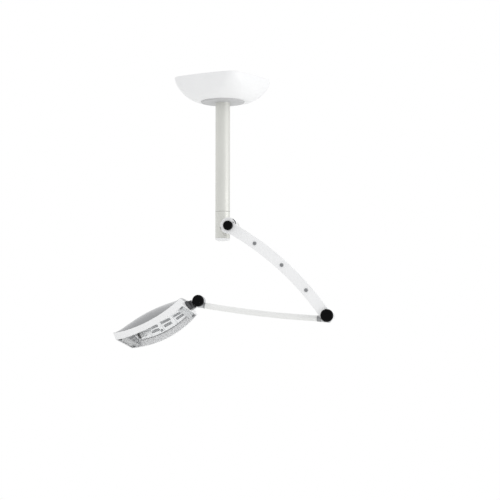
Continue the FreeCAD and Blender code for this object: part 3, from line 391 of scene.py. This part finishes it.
def reflector_height(x, share):
    """Level of the reflector at x and at a share of its half width."""
    edge = REAR_LEVEL - FRONT_BOW * swell(x) - EDGE_DROP
    crown = REAR_LEVEL + CROWN_RISE + (MID_CROWN - END_CROWN - CROWN_INSET) * swell(x)
    return edge + (crown - edge) * (1 - abs(share) ** CROWN_POWER)


def facet_point(column, row, along, share):
    """Point on the flat facet of a column and row: `along` is 0 to 1 in the column, share is across."""
    left, right = COLUMNS[column], COLUMNS[column + 1]
    near, far = ROWS[row], ROWS[row + 1]
    part = (share - near) / (far - near)
    heights = [reflector_height(end, near) * (1 - part) + reflector_height(end, far) * part
               for end in (left, right)]
    width = reflector_width(left) * (1 - along) + reflector_width(right) * along
    return Vector((left + (right - left) * along, share * width,
                   heights[0] * (1 - along) + heights[1] * along))


def column_stops():
    """Place, column, share of the column and whether it is a bead, for each stop along the head."""
    stops = []
    for column, (left, right) in enumerate(zip(COLUMNS, COLUMNS[1:])):
        low = left + (BEAD_HALF if column else 0)
        high = right - (BEAD_HALF if column < LAST_COLUMN else 0)
        stops += [(low + (high - low) * step, column, step, False) for step in COLUMN_STEPS]
        if column < LAST_COLUMN:
            stops.append((right, column, 0, True))
    return stops


def row_stops():
    """Share of the half width, row and share of the row, for each stop across the head."""
    stops = []
    for row, (near, far) in enumerate(zip(ROWS, ROWS[1:])):
        stops += [(near + (far - near) * step, row, step) for step in ROW_STEPS]
    return stops + [(1, LAST_ROW, 1)]


def reflector_shape(shape):
    """Pressed sheet of dished facets, with a rolled bead between neighbouring columns."""
    def point(column_stop, row_stop, lift):
        x, column, step, on_bead = column_stop
        share, row, part = row_stop
        along = (x - COLUMNS[column]) / (COLUMNS[column + 1] - COLUMNS[column])
        dish = DISH * math.sin(math.pi * step) * math.sin(math.pi * part) if column else 0
        bead = BEAD_DEPTH if on_bead else 0
        return shape.verts.new(facet_point(column, row, along, share) + Vector((0, 0, dish - bead + lift)))

    layers = [[[point(column_stop, row_stop, lift) for row_stop in row_stops()]
               for column_stop in column_stops()] for lift in (0, SHEET)]
    close_sheet(shape, *layers)
    end_tray(shape)


TRAY_LOW = Vector((0.1064, -0.030, -0.0115))
TRAY_HIGH = Vector((0.124, 0.030, 0.0155))


def end_tray(shape):
    """Open-backed tray that closes the reflector over the roll bearing: an end, two sides and a front."""
    low, high = TRAY_LOW, TRAY_HIGH
    walls = (
        (low, Vector((low.x + SHEET, high.y, high.z))),
        (low, Vector((high.x, low.y + SHEET, high.z))),
        (Vector((low.x, high.y - SHEET, low.z)), high),
        (low, Vector((high.x, high.y, low.z + SHEET))),
    )
    for corner, other in walls:
        middle, size = (corner + other) / 2, other - corner
        for vertex in bmesh.ops.create_cube(shape, size=1)["verts"]:
            vertex.co = middle + Vector([vertex.co[axis] * size[axis] for axis in range(3)])


# Start and end of each band along its facet, then its near and far shares of the head's half width.
BANDS = ((0.0, 0.76, 0.54, 0.65), (0.10, 0.70, 0.73, 0.84))
BAND_SLANT = 0.03
BAND_PROUD = 0.0005


def painted_reflection_bands(shape):
    """Two dark bands on the outer facets of every column but the first, slanting along the head: painted
    reflection, dull zinc where the polished facets show dark reflections.
    """
    for column in range(1, LAST_COLUMN + 1):
        for row, side in ((0, -1), (LAST_ROW, 1)):
            for start, end, low, high in BANDS:
                corners = [facet_point(column, row, along, side * (share + BAND_SLANT * along))
                           for along, share in ((start, low), (end, low), (end, high), (start, high))]
                close_rings(shape, [[shape.verts.new(corner + Vector((0, 0, lift))) for corner in corners]
                                    for lift in (-BAND_PROUD, DISH + SHEET / 2)])


SHIELD_LEVEL = -0.0105
SHIELD_EASE = 0.0004
COVER_OUTER = 0.1292
LAMP_COVER_INNER = 0.0985
PIVOT_COVER_INNER = 0.1055
COVER_THICK = 0.0008
COVER_LAP = 0.0029
COVER_STEPS = 6


def shield_top(x):
    """Level just clear of the bowed shield's inner face."""
    return SHIELD_LEVEL - FRONT_BOW * swell(x) + SHIELD_EASE


def end_cover(side, inner):
    """Maker of the plain cover between the shield and one end of the reflector, with its upright edge."""
    shares = [step / COVER_STEPS for step in range(-COVER_STEPS, COVER_STEPS + 1)]
    stops = [side * (COVER_OUTER + (inner - COVER_OUTER) * step / COVER_STEPS)
             for step in range(COVER_STEPS + 1)]
    edge = side * inner
    foot = shield_top(edge) + COVER_THICK

    tops = [max(reflector_height(edge, share) - SHEET, foot + COVER_THICK) for share in shares]

    def make(shape):
        def plate(lift):
            return [[shape.verts.new((x, share * (reflector_width(x) + COVER_LAP), shield_top(x) + lift))
                     for share in shares] for x in stops]

        def upright(x):
            return [[shape.verts.new((x, share * reflector_width(x), level))
                     for share, level in zip(shares, levels)] for levels in ([foot] * len(shares), tops)]

        close_sheet(shape, plate(0), plate(COVER_THICK))
        close_sheet(shape, upright(edge), upright(side * (inner + COVER_THICK)))
    return make


# ---------------------------------------------------------------- small pieces

ARC_STEPS = 14
EDGE_CHAMFER = 0.0003

# Inner radius, start and end in degrees of each painted shadow arc at the rim of the shoulder disc, on its
# face.
GAP_SHADOW_ARCS = ((0.0264, 54, 97), (0.0272, 230, 252))
GAP_SHADOW_OUTER = 0.0284
GAP_SHADOW_FLOOR = -0.004
GAP_SHADOW_PROUD = 0.0005


def shoulder_gap_shadows(shape):
    """Two black curved bars with chamfers at the rim of the shoulder disc: painted shadow where the rim shows
    dark arcs of shade.
    """
    chamfer_foot = GAP_SHADOW_PROUD - EDGE_CHAMFER
    for inner, start, end in GAP_SHADOW_ARCS:
        spots = ((inner, GAP_SHADOW_FLOOR), (inner, chamfer_foot), (inner + EDGE_CHAMFER, GAP_SHADOW_PROUD),
                 (GAP_SHADOW_OUTER - EDGE_CHAMFER, GAP_SHADOW_PROUD), (GAP_SHADOW_OUTER, chamfer_foot),
                 (GAP_SHADOW_OUTER, GAP_SHADOW_FLOOR))
        rings = []
        for step in range(ARC_STEPS + 1):
            angle = math.radians(start + (end - start) * step / ARC_STEPS)
            rings.append([shape.verts.new((radius * math.cos(angle), radius * math.sin(angle), level))
                          for radius, level in spots])
        close_rings(shape, rings)


def lathe(shape, outline, at, steps):
    """Turn (radius, level) points about Z into a closed skin."""
    rings = []
    for radius, level in outline:
        if radius == 0:
            rings.append([shape.verts.new(at @ Vector((0, 0, level)))])
        else:
            rings.append([shape.verts.new(at @ Vector((radius * math.cos(math.tau * step / steps),
                                                       radius * math.sin(math.tau * step / steps), level)))
                          for step in range(steps)])
    for first, second in zip(rings, rings[1:]):
        for step in range(steps):
            following = (step + 1) % steps
            corners = [ring[index % len(ring)] for ring, index in
                       ((first, step), (first, following), (second, following), (second, step))]
            unique = list(dict.fromkeys(corners))
            if len(unique) > 2:
                shape.faces.new(unique)


SCREW_REACH = 0.0213
SCREW_ANGLE = math.radians(72)
SCREW_STEPS = 18

# Radius and level of the set screw's outline, from its foot round its rim into its socket.
SCREW_OUTLINE = ((0, -0.003), (0.0025, -0.003), (0.0025, 0.0004), (0.0021, 0.0008), (0.0013, 0.0008),
                 (0.0012, -0.001), (0, -0.0012))


def shoulder_set_screw(shape):
    """Small socket screw beside the shoulder cap."""
    at = Matrix.Translation((SCREW_REACH * math.cos(SCREW_ANGLE), SCREW_REACH * math.sin(SCREW_ANGLE), 0))
    lathe(shape, SCREW_OUTLINE, at, SCREW_STEPS)


COIL_START = -0.0455
COIL_LEVEL = -0.011
COIL_LENGTH = 0.009
COIL_RADIUS = 0.0016
COIL_TURNS = 9
STEPS_PER_TURN = 14
WIRE_RADIUS = 0.00022


def filament(shape):
    """Fine coil along the middle of the lamp's capsule."""
    steps = COIL_TURNS * STEPS_PER_TURN
    quarters = [math.tau * quarter / 4 for quarter in range(4)]
    rings = []
    for step in range(steps + 1):
        angle = math.tau * step / STEPS_PER_TURN
        centre = Vector((COIL_START + COIL_LENGTH * step / steps, COIL_RADIUS * math.cos(angle),
                         COIL_LEVEL + COIL_RADIUS * math.sin(angle)))
        outward = Vector((0, math.cos(angle), math.sin(angle))) * WIRE_RADIUS
        along = Vector((1, 0, 0)) * WIRE_RADIUS
        rings.append([shape.verts.new(centre + outward * math.cos(turn) + along * math.sin(turn))
                      for turn in quarters])
    close_rings(shape, rings)


head = head_matrix()
shoulder = shoulder_matrix()
piece("faceted_reflector", reflector_shape, "lamp_head", "reflector_mirror", head, ["reflector"], smooth=25)
# Dull zinc bands on the reflector's facets: painted reflection of the dark surroundings in the mirror.
piece("reflector_painted_reflections", painted_reflection_bands, "lamp_head", "zinc_steel", head)
piece("lamp_end_cover", end_cover(-1, LAMP_COVER_INNER), "lamp_head", "grey_plastic", head)
piece("pivot_end_cover", end_cover(1, PIVOT_COVER_INNER), "lamp_head", "cast_grey", head)
piece("lamp_filament", filament, "lamp_head", "zinc_steel", head)
# Black bars at the shoulder disc's rim: painted shadow.
piece("shoulder_painted_gap_shadow", shoulder_gap_shadows, "upper_arm", "black_plastic", shoulder)
piece("shoulder_set_screw", shoulder_set_screw, "upper_arm", "zinc_steel", shoulder)

for name, item in nodes.items():
    item.data.materials.clear()
    item.data.materials.append(shade_painted_finishes.get(name, materials[slots[name]]))

bpy.context.scene.view_settings.view_transform = "Standard"
add_camera()
add_world()
add_lights()
add_stage(floor_paint)
